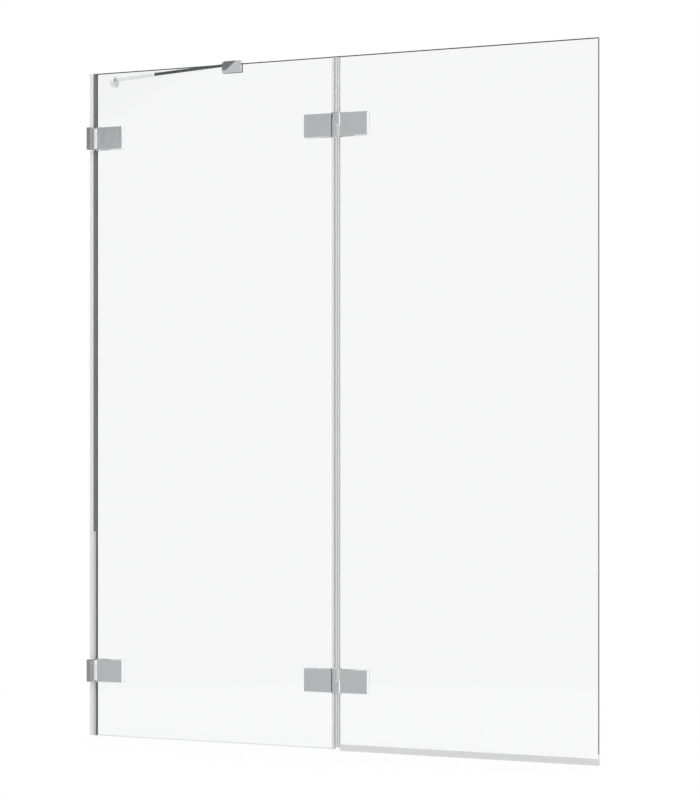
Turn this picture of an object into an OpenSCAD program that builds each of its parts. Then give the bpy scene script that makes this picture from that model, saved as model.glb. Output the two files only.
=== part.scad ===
// Two-panel bath screen. A fixed pane is clamped to the wall by two brackets and braced by a bar.
// A door pane hangs on it by two glass-to-glass hinges.
// Frame: the wall is the plane x = 0, the panes lie in the plane y = 0, and z points up.
// The origin is the middle of the lower wall plate's back face.

/* [Panes] */
// Height of the fixed pane
pane_h = 1500; // [1200:10:1700]
// Width of the fixed pane
fixed_w = 600; // [460:5:800]
// Width of the door pane
door_w = 590; // [300:5:800]
// Thickness of both panes
glass_t = 6; // [5:0.5:8]
// Gap between the wall and the fixed pane
wall_gap = 9; // [8.5:0.5:12]
// Height of the door pane's lower edge above the fixed pane's lower edge
door_lift = 4; // [3:0.5:8]
// Radius of the inner corners of the notches in the glass
notch_r = 6; // [3:0.5:8]
// Clearance between a notch and the core in it
notch_gap = 1.5; // [1:0.25:2]
// Radius of the corners where a notch is wider, at the pane's edge
step_r = 2; // [1:0.5:3]
// Clearance above and below a fitting in that wider part
step_gap = 1; // [0.75:0.25:1.5]

/* [Clamp plates] */
// Distance from each end of the fixed pane to the middle of the nearest fittings
fit_inset = 148; // [100:2:250]
// Width of a clamp plate
plate_w = 64; // [60:1:80]
// Height of a clamp plate
plate_h = 51; // [46:1:70]
// Thickness of a clamp plate
plate_t = 5; // [4.5:0.25:5.5]
// Radius of a clamp plate's corners
plate_r = 3; // [1.5:0.5:5]
// Bevel on the outer edges of a clamp plate
plate_bevel = 0.6; // [0.2:0.1:1]
// Thickness of the gasket between a plate and the glass
gasket_t = 1; // [0.5:0.25:1]
// How far the metal core reaches in between the plates
core_reach = 26; // [22:1:30]
// Setback of the core from the plates' upper and lower edges, so that the plates hide the notch
core_setback = 3.5; // [2.5:0.5:4]
// Distance from a plate's inner end to the screws through the core
core_screw_u = 12; // [9:1:15]
// Distance from a plate's inner end to the screws through the glass
glass_screw_u = 46; // [42:1:50]
// Vertical distance between the two screws of a pair
screw_pitch = 28; // [24:1:32]

/* [Clamp screws] */
// Radius of a clamp screw's shank
screw_r = 2.5; // [2:0.25:3]
// Radius of a clamp screw's head
screw_head_r = 4.6; // [4:0.1:5]
// Depth of a clamp screw's head
screw_head_h = 2.2; // [1.8:0.1:2.6]
// How far a clamp screw reaches into the front plate
screw_bite = 3.6; // [2.5:0.1:3.8]
// Radius of the sleeve around a screw in the glass
sleeve_r = 5.6; // [4.5:0.1:6.5]

/* [Wall brackets] */
// Distance from the wall to the clamp plates
wall_offset = 20.5; // [18:0.5:28]
// Width of a wall plate
flange_w = 40; // [38:1:60]
// Height of a wall plate
flange_h = 47; // [42:1:48]
// Thickness of a wall plate
flange_t = 5; // [4:0.5:6]
// Thickness of a wall plate's cover
cover_t = 1.4; // [1:0.1:2]
// Depth of a cover, from the wall to its face
cover_depth = 12; // [10:0.5:14]
// Radius of a cover's outer corners
cover_r = 2; // [1:0.25:3]
// Thickness of the neck between a wall plate and its clamp plates
neck_t = 16; // [14:0.5:16.5]
// Joint between the neck and the clamp plates
neck_gap = 0.2; // [0.1:0.1:0.5]
// Radius of the holes for the wall screws
wall_hole_r = 2.75; // [2:0.25:3]
// Radius of the countersinks for the wall screws
wall_sink_r = 5; // [4:0.1:5.2]
// Horizontal distance between the wall holes
wall_hole_y = 27; // [26:0.5:28]
// Vertical distance between the wall holes
wall_hole_z = 30; // [24:1:34]

/* [Hinges] */
// Distance from the hinge axis to the leaf plates
leaf_offset = 11.2; // [10.8:0.1:12.5]
// Radius of the hinge knuckle
knuckle_r = 4.6; // [4.4:0.1:5.2]
// Gap between the fixed leaf's core and the door's half of the knuckle
knuckle_gap = 0.8; // [0.6:0.1:1.5]
// Radius of the hinge pin
pin_r = 2.5; // [2:0.25:2.75]
// Wall of the bushes on the pin
bush_wall = 0.75; // [0.5:0.25:1]
// Thickness of the washer between the halves of a knuckle
washer_t = 1.8; // [1:0.2:3]
// Thickness of the caps on a knuckle's ends
cap_t = 3; // [2:0.25:4]
// Radius of the grub screws that lock the pins
pin_grub_r = 1.25; // [1:0.25:1.5]
// Running clearance around the pin in its bushes
pin_clear = 0.05; // [0.02:0.01:0.1]

/* [Seals] */
// Wall thickness of the seals
seal_t = 0.9; // [0.8:0.1:1.2]
// Thickness of the soft lips
lip_t = 1; // [0.6:0.1:1.2]
// How far the wall seal covers the glass
wall_grip = 8.5; // [6:0.5:9.5]
// How far the lips of the wall seal spread at the wall, from the middle of the glass
lip_spread = 6; // [5:0.5:9]
// How far the fixed pane's edge seal covers the glass
fixed_grip = 5.5; // [3:0.5:8]
// How far the door's edge seal covers the glass
door_grip = 2.4; // [2:0.1:5]
// Clearance that the seals leave each other as the door swings
swing_clear = 0.3; // [0.2:0.1:0.6]
// Clearance between the fixed edge seal and the bulb on the door's seal
bulb_clear = 0.5; // [0.3:0.1:1]
// How far the drip seal covers the door pane
drip_grip = 6.5; // [5:0.5:10]
// How far the drip seal's lips reach below the fixed pane
drip_reach = 2.5; // [1:0.5:5]
// Gap between a seal's cut end and the fitting next to it
seal_end_gap = 1; // [0.5:0.25:3]

/* [Support bar] */
// Radius of the rod that the glass clamp holds
rod_r = 3.5; // [2.5:0.25:4]
// Radius of the tube that the rosette holds, into which the rod slides
tube_r = 5; // [4.5:0.25:6]
// Distance from the wall to the tube's open end
tube_end_x = 130; // [90:5:200]
// How far the rod reaches into the tube
rod_overlap = 60; // [30:5:75]
// Radius of the grub screw that locks the rod in the tube
lock_grub_r = 1.5; // [1:0.25:2]
// Distance from the tube's open end back to that screw
lock_setback = 8; // [5:1:20]
// Distance from the top of the fixed pane up to the bar's axis
bar_rise = 1.5; // [0:0.5:3]
// Distance from the glass plane back to the bar's axis at the glass clamp
bar_clamp_y = 16; // [15:0.5:20]
// How far the rod reaches into the glass clamp
bar_grip = 17; // [10:1:17]
// Distance from the wall to the glass clamp
clamp_x = 338; // [280:2:420]
// Width of the glass clamp
clamp_w = 47; // [44:1:60]
// Height of the glass clamp
clamp_h = 26; // [24:0.5:32]
// Height of the glass clamp above the pane's top edge
clamp_rise = 6.4; // [6:0.2:8]
// Thickness of the glass clamp's front jaw
front_jaw_t = 4; // [3:0.25:6]
// Thickness of the glass clamp's back jaw
back_jaw_t = 5; // [4:0.25:7]
// Thickness of the liner in the glass clamp
liner_t = 1; // [0.5:0.25:1.5]
// Radius of the glass clamp's rounded edges
clamp_r = 3; // [1:0.5:4]
// Width of the bar socket behind the back jaw
socket_w = 22; // [20:0.5:26]
// Wall of metal around the rod in its socket
socket_wall = 3; // [2.6:0.1:4]
// Radius of the small grub screws in the clamp and the rosette
grub_r = 2; // [1.5:0.25:2.5]

/* [Wall rosette] */
// Distance from the glass plane back to the bar's axis at the rosette
rosette_y = 100; // [80:5:120]
// Radius of the rosette
rosette_r = 13.3; // [13:0.1:16]
// Distance from the bar's axis down to the middle of the rosette
rosette_drop = 6; // [4:0.2:6.2]
// Thickness of the rosette
rosette_t = 10; // [9:0.5:14]
// Radius of the base disc inside the rosette
base_r = 11; // [10:0.25:11.5]
// Thickness of the base disc inside the rosette
base_t = 3.6; // [3:0.1:4]
// Gap between the base disc and the floor of the cap
floor_gap = 0.5; // [0.3:0.1:1]
// Radius of the hole for the rosette's wall screw
rosette_hole_r = 2.5; // [2:0.25:3]
// Bevel on the rosette's outer edge
rosette_bevel = 1; // [0.4:0.1:1.5]
// Length of the grub screw that locks the tube in the rosette
rosette_grub_len = 6; // [4:0.5:10]

/* [Hidden] */
$fn = 48;

// Small overrun of a cutting solid past the face that it cuts
over = 0.5;
// Clearance between pieces that are fixed in one another
seat_clear = 0.05;
// Clearance around a clamp screw in the pieces that it passes through
screw_clear = 0.3;
// Running clearance between the faces of a knuckle's halves and the washer
face_clear = 0.1;
// Clearance between a wall plate and its covers
cover_clear = 0.1;
// Depth of the hexagon sockets in the screws
socket_depth = 1.6;
// Key radius of the sockets in the clamp screws, over the corners
clamp_key_r = 1.75;
// Key radius of the sockets in the grub screws, over the corners
grub_key_r = 1.1;
// Setback of a gasket from the plate's outline
gasket_setback = 0.5;
// Setback of a grub screw's end from the face that it is let into
grub_setback = 0.5;
// The same for the small screw in the tube's thin wall
lock_recess = 0.2;

// Chrome-plated metal, dark-plated rod, clear glass, clear soft plastic, white plastic and stainless steel
chrome_colour = [0.70, 0.72, 0.74];
rod_colour = [0.20, 0.22, 0.24];
glass_colour = [0.90, 0.94, 0.93, 0.35];
seal_colour = [0.82, 0.84, 0.85, 0.6];
nylon_colour = [0.93, 0.93, 0.91];
steel_colour = [0.60, 0.61, 0.63];

// Places along the screen
seal_half = glass_t / 2 + seal_t;
seal_face = seal_half + swing_clear;
axis_gap = seal_face + seal_t;
fixed_x0 = wall_gap;
fixed_x1 = fixed_x0 + fixed_w;
axis_x = fixed_x1 + axis_gap;
door_x0 = axis_x + axis_gap;
door_x1 = door_x0 + door_w;

// Places up the screen
pane_z0 = -fit_inset;
pane_z1 = pane_z0 + pane_h;
lower_z = 0;
upper_z = pane_z1 - fit_inset;
door_z0 = pane_z0 + door_lift;

// The clamped stack: gasket, glass, gasket
stack_t = glass_t + 2 * gasket_t;
stack_y = stack_t / 2;
screw_len = plate_t + stack_t + screw_bite;
core_h = plate_h - 2 * core_setback;
notch_h = core_h + 2 * notch_gap;
gasket_u0 = core_reach + notch_gap;

// Outer height of the covers on a wall plate
cover_h = flange_h + 2 * (cover_clear + cover_t);

// The knuckle: the fixed half lies above the washer, in the upper hinge's own frame
half_h = plate_h / 2;
bush_r = pin_r + pin_clear + bush_wall;
cap_r = bush_r;

// The support bar, from the rosette to the glass clamp
bar_z = pane_z1 + bar_rise;
bar_angle = atan((bar_clamp_y - rosette_y) / (clamp_x - rosette_t));
tube_x0 = base_t + floor_gap + tube_r * sin(abs(bar_angle));
rod_x0 = tube_end_x - rod_overlap;
rod_x1 = clamp_x + bar_grip;
rod_grub_x = clamp_x + bar_grip / 2;
lock_x = tube_end_x - lock_setback;
rosette_grub_x = (tube_x0 + rosette_t) / 2;
clamp_z1 = pane_z1 + clamp_rise;
clamp_z0 = clamp_z1 - clamp_h;
jaw_y = glass_t / 2 + liner_t;

// Rounded rectangle from u = 0 to u = w, centred on the other axis
module round_rect(w, h, r) {
  translate([r, -h / 2]) square([w - 2 * r, h]);
  translate([0, -h / 2 + r]) square([w, h - 2 * r]);
  for (u = [r, w - r], v = [r - h / 2, h / 2 - r]) {
    translate([u, v]) circle(r);
  }
}

// Extrudes an outline drawn in the plane of the glass, from y = y0 to y = y1
module along_y(y0, y1) {
  translate([0, y1, 0]) rotate([90, 0, 0]) linear_extrude(y1 - y0) children();
}

// Cylinder along y, from y = y0 to y = y1
module rod_y(y0, y1, r) {
  translate([0, y1, 0]) rotate([90, 0, 0]) cylinder(h = y1 - y0, r = r);
}

// Places of the clamps: inner end of the plates at u = 0, the pane away from it
module at_wall(z) {
  translate([wall_offset, 0, z]) children();
}

module at_fixed_leaf(z) {
  translate([axis_x - leaf_offset, 0, z]) mirror([1, 0, 0]) children();
}

module at_door_leaf(z) {
  translate([axis_x + leaf_offset, 0, z]) children();
}

// The upper hinge's own frame, turned over for the lower hinge
module at_hinge(z) {
  translate([axis_x, 0, z]) mirror([0, 0, z < upper_z ? 1 : 0]) children();
}

module at_core_screws() {
  for (v = [-1, 1]) {
    translate([core_screw_u, 0, v * screw_pitch / 2]) children();
  }
}

module at_glass_screws() {
  for (v = [-1, 1]) {
    translate([glass_screw_u, 0, v * screw_pitch / 2]) children();
  }
}

module at_all_screws() {
  at_core_screws() children();
  at_glass_screws() children();
}

// Notch in the glass, open towards the pane's edge, and the holes for the two outer screws
// The notch is wider from the edge to u = step_u, around what stands there as high as fit_h
module glass_cut(step_u, fit_h) {
  open_u = leaf_offset + wall_offset;
  along_y(-glass_t, glass_t) {
    translate([-open_u, 0]) round_rect(open_u + gasket_u0, notch_h, notch_r);
    translate([-open_u, 0]) round_rect(open_u + step_u, fit_h + 2 * step_gap, step_r);
  }
  at_glass_screws() rod_y(-glass_t, glass_t, sleeve_r + seat_clear);
}

// A pane from x0 to x1 and from z0 to z1
module pane(x0, x1, z0, z1) {
  translate([x0, -glass_t / 2, z0]) cube([x1 - x0, glass_t, z1 - z0]);
}

// A plate's body: inner face at y = 0, outer face at y = plate_t with bevelled edges
module plate_blank() {
  b = plate_bevel;
  intersection() {
    along_y(0, plate_t) round_rect(plate_w, plate_h, plate_r);
    translate([0, 0, -half_h]) linear_extrude(plate_h) {
      polygon([[0, 0], [plate_w, 0], [plate_w, plate_t - b], [plate_w - b, plate_t],
        [b, plate_t], [0, plate_t - b]]);
    }
    rotate([90, 0, 90]) linear_extrude(plate_w) {
      polygon([[0, -half_h], [plate_t - b, -half_h], [plate_t, b - half_h],
        [plate_t, half_h - b], [plate_t - b, half_h], [0, half_h]]);
    }
  }
}

// Back plate, with countersunk holes for the clamp screws
module back_plate() {
  color(chrome_colour) translate([0, stack_y, 0]) difference() {
    plate_blank();
    at_all_screws() {
      rod_y(-over, plate_t + over, screw_r + screw_clear);
      translate([0, plate_t, 0]) rotate([90, 0, 0])
        cylinder(h = screw_head_h + seat_clear, r1 = screw_head_r + seat_clear, r2 = screw_r + screw_clear);
    }
  }
}

// Front plate, smooth outside, with blind threaded holes inside
module front_plate() {
  color(chrome_colour) translate([0, -stack_y, 0]) difference() {
    mirror([0, 1, 0]) plate_blank();
    at_all_screws() rod_y(-screw_bite - 2 * seat_clear, over, screw_r + seat_clear);
  }
}

// Pair of gaskets, one on each side of the glass
module gaskets() {
  w = plate_w - gasket_u0 - gasket_setback;
  h = plate_h - 2 * gasket_setback;
  color(seal_colour) for (s = [-1, 1]) {
    translate([0, s * (stack_y - gasket_t / 2), 0]) difference() {
      translate([gasket_u0, -gasket_t / 2, -h / 2]) cube([w, gasket_t, h]);
      at_glass_screws() rod_y(-gasket_t, gasket_t, screw_r + screw_clear);
    }
  }
}

// Countersunk screw with a hexagon socket, head in the back plate's outer face
module clamp_screw() {
  translate([0, stack_y + plate_t, 0]) rotate([90, 0, 0]) difference() {
    union() {
      cylinder(h = screw_head_h, r1 = screw_head_r, r2 = screw_r);
      cylinder(h = screw_len, r = screw_r);
    }
    translate([0, 0, -over]) cylinder(h = socket_depth + over, r = clamp_key_r, $fn = 6);
  }
}

// Sleeve around a screw in the glass
module sleeve() {
  difference() {
    rod_y(-glass_t / 2, glass_t / 2, sleeve_r);
    rod_y(-glass_t, glass_t, screw_r + screw_clear);
  }
}

// Core between the plates, from u = u0 inwards
module core_block(u0) {
  difference() {
    along_y(-stack_y, stack_y) translate([u0, 0]) {
      round_rect(core_reach - u0, core_h, plate_r);
      translate([0, -core_h / 2]) square([plate_r, core_h]);
    }
    at_core_screws() rod_y(-stack_t, stack_t, screw_r + screw_clear);
  }
}

// Grub screw along z with its socket at the bottom, from z = 0 upwards
module grub(len, r) {
  depth = min(socket_depth, len / 2);
  difference() {
    cylinder(h = len, r = r - seat_clear);
    translate([0, 0, -over]) cylinder(h = depth + over, r = min(grub_key_r, r / 2), $fn = 6);
  }
}

// Heights of the three lengths of a seal between z0 and z1
function seal_lengths(z0, z1) = [
  [z0, lower_z - half_h - seal_end_gap],
  [lower_z + half_h + seal_end_gap, upper_z - half_h - seal_end_gap],
  [upper_z + half_h + seal_end_gap, z1]
];

// Extrudes a seal's section over its three lengths
module seal_run(z0, z1) {
  for (span = seal_lengths(z0, z1)) {
    translate([0, 0, span[0]]) linear_extrude(span[1] - span[0]) children();
  }
}

// Channel section that grips a pane's edge, web from u = 0 and arms towards u
module channel(grip) {
  difference() {
    translate([0, -seal_half]) square([seal_t + grip, 2 * seal_half]);
    translate([seal_t, -glass_t / 2]) square([grip + over, glass_t]);
  }
}

// Glass panes
module fixed_glass() {
  color(glass_colour) difference() {
    pane(fixed_x0, fixed_x1, pane_z0, pane_z1);
    for (z = [lower_z, upper_z]) {
      at_wall(z) glass_cut(cover_depth + notch_gap - wall_offset, cover_h);
      at_fixed_leaf(z) glass_cut(notch_gap, plate_h);
    }
  }
}

module door_glass() {
  color(glass_colour) difference() {
    pane(door_x0, door_x1, door_z0, pane_z1);
    for (z = [lower_z, upper_z]) {
      at_door_leaf(z) glass_cut(notch_gap, plate_h);
    }
  }
}

// Seals
module wall_seal() {
  web = fixed_x0 - seal_t;
  color(seal_colour) seal_run(pane_z0, pane_z1) {
    translate([web, 0]) channel(wall_grip);
    for (s = [-1, 1]) {
      polygon([[web + seal_t / 2, s * (seal_half - lip_t)], [web + seal_t / 2, s * seal_half],
        [seat_clear, s * lip_spread], [seat_clear, s * (lip_spread - lip_t)]]);
    }
  }
}

module fixed_edge_seal() {
  color(seal_colour) seal_run(pane_z0, pane_z1) {
    translate([axis_x - seal_face, 0]) mirror([1, 0]) channel(fixed_grip);
  }
}

module door_edge_seal() {
  bulb_r = seal_face - bulb_clear;
  color(seal_colour) seal_run(door_z0, pane_z1) {
    translate([axis_x, 0]) {
      translate([seal_face, 0]) channel(door_grip);
      difference() {
        union() {
          circle(bulb_r);
          translate([0, -lip_t / 2]) square([seal_face + seal_t / 2, lip_t]);
        }
        circle(bulb_r - lip_t);
      }
    }
  }
}

module door_drip_seal() {
  web_z = door_z0 - seal_t;
  top_z = door_z0 + drip_grip;
  tip_z = pane_z0 - drip_reach;
  root = seal_half - lip_t;
  half = glass_t / 2;
  setback = door_grip + seal_end_gap;
  color(seal_colour) translate([door_x0 + setback, 0, 0]) rotate([90, 0, 90]) {
    linear_extrude(door_w - setback) {
      polygon([[-seal_half, top_z], [-seal_half, tip_z], [-root, tip_z], [-root, web_z], [root, web_z],
        [lip_t / 2, tip_z], [3 * lip_t / 2, tip_z], [seal_half, web_z], [seal_half, top_z],
        [half, top_z], [half, door_z0], [-half, door_z0], [-half, top_z]]);
    }
  }
}

// Wall brackets
module wall_plate(z) {
  color(chrome_colour) translate([0, 0, z]) {
    difference() {
      translate([0, -flange_w / 2, -flange_h / 2]) cube([flange_t, flange_w, flange_h]);
      for (y = [-1, 1], v = [-1, 1]) {
        translate([0, y * wall_hole_y / 2, v * wall_hole_z / 2]) rotate([0, 90, 0]) {
          translate([0, 0, -over]) cylinder(h = flange_t + 2 * over, r = wall_hole_r);
          translate([0, 0, flange_t - wall_sink_r + wall_hole_r])
            cylinder(h = wall_sink_r - wall_hole_r, r1 = wall_hole_r, r2 = wall_sink_r);
        }
      }
    }
    translate([flange_t / 2, -neck_t / 2, -cover_h / 2]) cube([cover_depth - flange_t / 2, neck_t, cover_h]);
    translate([flange_t / 2, -neck_t / 2, -core_h / 2])
      cube([wall_offset - neck_gap - flange_t / 2, neck_t, core_h]);
    translate([wall_offset, 0, 0]) core_block(-wall_offset / 2);
  }
}

module wall_plate_upper() { wall_plate(upper_z); }
module wall_plate_lower() { wall_plate(lower_z); }

// Covers over a wall plate, one on each side of its neck
module wall_covers(z) {
  inner = flange_w / 2 + cover_clear;
  y0 = neck_t / 2 + cover_clear;
  w = inner + cover_t - y0;
  color(chrome_colour) translate([0, 0, z]) for (s = [0, 1]) {
    mirror([0, s, 0]) difference() {
      translate([0, y0, -cover_h / 2]) intersection() {
        cube([cover_depth, w, cover_h]);
        linear_extrude(cover_h) {
          translate([0, w / 2 - cover_r]) round_rect(cover_depth, w + 2 * cover_r, cover_r);
        }
      }
      translate([-over, y0 - over, -flange_h / 2 - cover_clear])
        cube([cover_depth - cover_t + over, inner - y0 + over, flange_h + 2 * cover_clear]);
    }
  }
}

module wall_covers_upper() { wall_covers(upper_z); }
module wall_covers_lower() { wall_covers(lower_z); }
module wall_front_plate_upper() { at_wall(upper_z) front_plate(); }
module wall_front_plate_lower() { at_wall(lower_z) front_plate(); }
module wall_back_plate_upper() { at_wall(upper_z) back_plate(); }
module wall_back_plate_lower() { at_wall(lower_z) back_plate(); }
module wall_gaskets_upper() { at_wall(upper_z) gaskets(); }
module wall_gaskets_lower() { at_wall(lower_z) gaskets(); }

module wall_clamp_screws() {
  color(steel_colour) for (z = [lower_z, upper_z]) {
    at_wall(z) at_all_screws() clamp_screw();
  }
}

module wall_sleeves() {
  color(nylon_colour) for (z = [lower_z, upper_z]) {
    at_wall(z) at_glass_screws() sleeve();
  }
}

// Half knuckle above the washer, bored for what goes into it, in the upper hinge's own frame
module half_knuckle(z0, bore_r) {
  difference() {
    union() {
      translate([0, 0, z0]) cylinder(h = half_h - z0, r = knuckle_r);
      translate([0, -stack_y, z0]) cube([leaf_offset, stack_t, half_h - z0]);
    }
    translate([0, 0, z0 - over]) cylinder(h = half_h, r = bore_r);
    translate([0, 0, half_h - cap_t]) cylinder(h = cap_t + over, r = cap_r + seat_clear);
  }
}

// The fixed core carries one half of the knuckle and ends close beside the other half and the washer
module fixed_leaf_core(z) {
  knuckle_side = knuckle_r + knuckle_gap;
  color(chrome_colour) {
    at_fixed_leaf(z) core_block(0);
    at_hinge(z) difference() {
      mirror([1, 0, 0]) half_knuckle(washer_t / 2, pin_r + seat_clear);
      translate([0, 0, half_h / 2]) rod_y(0, knuckle_r + over, pin_grub_r);
    }
    at_hinge(z) translate([-leaf_offset, -stack_y, -half_h])
      cube([leaf_offset - knuckle_side, stack_t, half_h + washer_t / 2]);
  }
}

module door_leaf_core(z) {
  color(chrome_colour) {
    at_door_leaf(z) core_block(0);
    at_hinge(z) mirror([0, 0, 1]) half_knuckle(washer_t / 2 + face_clear, bush_r + seat_clear);
  }
}

module fixed_leaf_core_upper() { fixed_leaf_core(upper_z); }
module fixed_leaf_core_lower() { fixed_leaf_core(lower_z); }
module door_leaf_core_upper() { door_leaf_core(upper_z); }
module door_leaf_core_lower() { door_leaf_core(lower_z); }
module fixed_leaf_front_upper() { at_fixed_leaf(upper_z) front_plate(); }
module fixed_leaf_front_lower() { at_fixed_leaf(lower_z) front_plate(); }
module fixed_leaf_back_upper() { at_fixed_leaf(upper_z) back_plate(); }
module fixed_leaf_back_lower() { at_fixed_leaf(lower_z) back_plate(); }
module fixed_leaf_gaskets_upper() { at_fixed_leaf(upper_z) gaskets(); }
module fixed_leaf_gaskets_lower() { at_fixed_leaf(lower_z) gaskets(); }
module door_leaf_front_upper() { at_door_leaf(upper_z) front_plate(); }
module door_leaf_front_lower() { at_door_leaf(lower_z) front_plate(); }
module door_leaf_back_upper() { at_door_leaf(upper_z) back_plate(); }
module door_leaf_back_lower() { at_door_leaf(lower_z) back_plate(); }
module door_leaf_gaskets_upper() { at_door_leaf(upper_z) gaskets(); }
module door_leaf_gaskets_lower() { at_door_leaf(lower_z) gaskets(); }

module fixed_leaf_screws() {
  color(steel_colour) for (z = [lower_z, upper_z]) {
    at_fixed_leaf(z) at_all_screws() clamp_screw();
  }
}

module door_leaf_screws() {
  color(steel_colour) for (z = [lower_z, upper_z]) {
    at_door_leaf(z) at_all_screws() clamp_screw();
  }
}

module fixed_leaf_sleeves() {
  color(nylon_colour) for (z = [lower_z, upper_z]) {
    at_fixed_leaf(z) at_glass_screws() sleeve();
  }
}

module door_leaf_sleeves() {
  color(nylon_colour) for (z = [lower_z, upper_z]) {
    at_door_leaf(z) at_glass_screws() sleeve();
  }
}

// Pin through both halves of a knuckle, between its two caps
module hinge_pin(z) {
  pin_half = half_h - cap_t - seat_clear;
  color(steel_colour) at_hinge(z) translate([0, 0, -pin_half]) cylinder(h = 2 * pin_half, r = pin_r);
}

module hinge_pin_upper() { hinge_pin(upper_z); }
module hinge_pin_lower() { hinge_pin(lower_z); }

// Grub screws that lock the pins, let into the back of the fixed halves
module pin_grub_screws() {
  len = knuckle_r - pin_r - seat_clear - grub_setback;
  color(steel_colour) for (z = [lower_z, upper_z]) {
    at_hinge(z) translate([0, pin_r + seat_clear + len, half_h / 2]) rotate([90, 0, 0]) grub(len, pin_grub_r);
  }
}

// Washers in the split of each knuckle
module hinge_washers() {
  color(nylon_colour) for (z = [lower_z, upper_z]) {
    at_hinge(z) translate([0, 0, -washer_t / 2]) difference() {
      cylinder(h = washer_t, r = knuckle_r);
      translate([0, 0, -over]) cylinder(h = washer_t + 2 * over, r = pin_r + pin_clear);
    }
  }
}

// Plain bush in the door's half of a knuckle
module hinge_bush(z) {
  h = half_h - cap_t - washer_t / 2 - face_clear - seat_clear;
  color(nylon_colour) at_hinge(z) translate([0, 0, -half_h + cap_t + seat_clear]) difference() {
    cylinder(h = h, r = bush_r);
    translate([0, 0, -over]) cylinder(h = h + 2 * over, r = pin_r + pin_clear);
  }
}

module hinge_bush_upper() { hinge_bush(upper_z); }
module hinge_bush_lower() { hinge_bush(lower_z); }

// Cap that closes a knuckle's end, with a bevelled rim
module knuckle_cap() {
  translate([0, 0, half_h - cap_t]) rotate_extrude() {
    polygon([[0, 0], [cap_r, 0], [cap_r, cap_t - plate_bevel], [cap_r - plate_bevel, cap_t], [0, cap_t]]);
  }
}

module fixed_knuckle_caps() {
  color(chrome_colour) for (z = [lower_z, upper_z]) {
    at_hinge(z) knuckle_cap();
  }
}

module door_knuckle_caps() {
  color(chrome_colour) for (z = [lower_z, upper_z]) {
    at_hinge(z) mirror([0, 0, 1]) knuckle_cap();
  }
}

// Point of the bar's axis at a distance x from the wall
module at_bar(x) {
  translate([x, rosette_y + (x - rosette_t) * tan(bar_angle), bar_z]) children();
}

// Cylinder along the bar's axis, between the distances x0 and x1 from the wall
module rod_along_bar(x0, x1, r) {
  at_bar(x0) rotate([0, 90, bar_angle]) cylinder(h = (x1 - x0) / cos(bar_angle), r = r);
}

// Support bar: a tube from the rosette, and a rod that slides in it and reaches into the glass clamp
module support_tube() {
  color(chrome_colour) difference() {
    rod_along_bar(tube_x0, tube_end_x, tube_r);
    rod_along_bar(rod_x0 - rod_r, tube_end_x + rod_r, rod_r + seat_clear);
    at_bar(lock_x) grub_hole(tube_r, lock_grub_r);
  }
}

module support_rod() {
  color(rod_colour) rod_along_bar(rod_x0, rod_x1, rod_r);
}

module rod_lock_screw() {
  len = tube_r - rod_r - lock_recess;
  color(steel_colour) at_bar(lock_x) translate([0, 0, -rod_r - len]) grub(len, lock_grub_r);
}

// Glass clamp: an upturned channel over the pane's top edge, with the bar's socket cast on its back
module glass_clamp() {
  y0 = -jaw_y - front_jaw_t;
  depth = 2 * jaw_y + front_jaw_t + back_jaw_t;
  socket_h = 2 * (rod_r + socket_wall);
  socket_y1 = bar_clamp_y + rod_r + socket_wall;
  color(chrome_colour) difference() {
    union() {
      along_y(y0, y0 + depth) translate([clamp_x, (clamp_z0 + clamp_z1) / 2]) {
        round_rect(clamp_w, clamp_h, clamp_r);
      }
      along_y(jaw_y, socket_y1) translate([clamp_x, bar_z]) round_rect(socket_w, socket_h, clamp_r);
    }
    translate([clamp_x - over, -jaw_y, clamp_z0 - over])
      cube([clamp_w + 2 * over, 2 * jaw_y, pane_z1 + liner_t - clamp_z0 + over]);
    rod_along_bar(clamp_x - rod_r, rod_x1 + seat_clear, rod_r + seat_clear);
    at_clamp_grubs() rod_y(0, jaw_y + back_jaw_t + over, grub_r);
    at_bar(rod_grub_x) grub_hole(rod_r + socket_wall, grub_r);
  }
}

// Two grub screws beside the bar's socket press the liner on the glass
module at_clamp_grubs() {
  free = clamp_w - socket_w;
  for (part = [1, 3]) {
    translate([clamp_x + socket_w + part * free / 4, 0, (clamp_z0 + pane_z1) / 2]) children();
  }
}

// Hole for a grub screw, from the bar's axis down past a depth
module grub_hole(depth, r) {
  translate([0, 0, -depth - over]) cylinder(h = depth + over, r = r);
}

module glass_clamp_liner() {
  h = pane_z1 - clamp_z0;
  color(seal_colour) difference() {
    translate([clamp_x, -jaw_y, clamp_z0]) cube([clamp_w, 2 * jaw_y, h + liner_t]);
    translate([clamp_x - over, -glass_t / 2, clamp_z0 - over]) cube([clamp_w + 2 * over, glass_t, h + over]);
  }
}

module glass_clamp_grubs() {
  len = back_jaw_t - grub_setback;
  color(steel_colour) at_clamp_grubs() {
    translate([0, jaw_y + len, 0]) rotate([90, 0, 0]) grub(len, grub_r);
  }
}

module rod_grub_screw() {
  len = socket_wall - grub_setback;
  color(steel_colour) at_bar(rod_grub_x) translate([0, 0, -rod_r - len]) grub(len, grub_r);
}

// Wall rosette: a base disc screwed to the wall, and a cap over it that holds the bar's end above its middle
module at_rosette() {
  translate([0, rosette_y, bar_z - rosette_drop]) rotate([0, 90, 0]) children();
}

module rosette_base() {
  sink = rosette_hole_r;
  color(steel_colour) at_rosette() difference() {
    cylinder(h = base_t, r = base_r);
    translate([0, 0, -over]) cylinder(h = base_t + 2 * over, r = rosette_hole_r);
    translate([0, 0, base_t - sink]) cylinder(h = sink, r1 = rosette_hole_r, r2 = rosette_hole_r + sink);
  }
}

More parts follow.
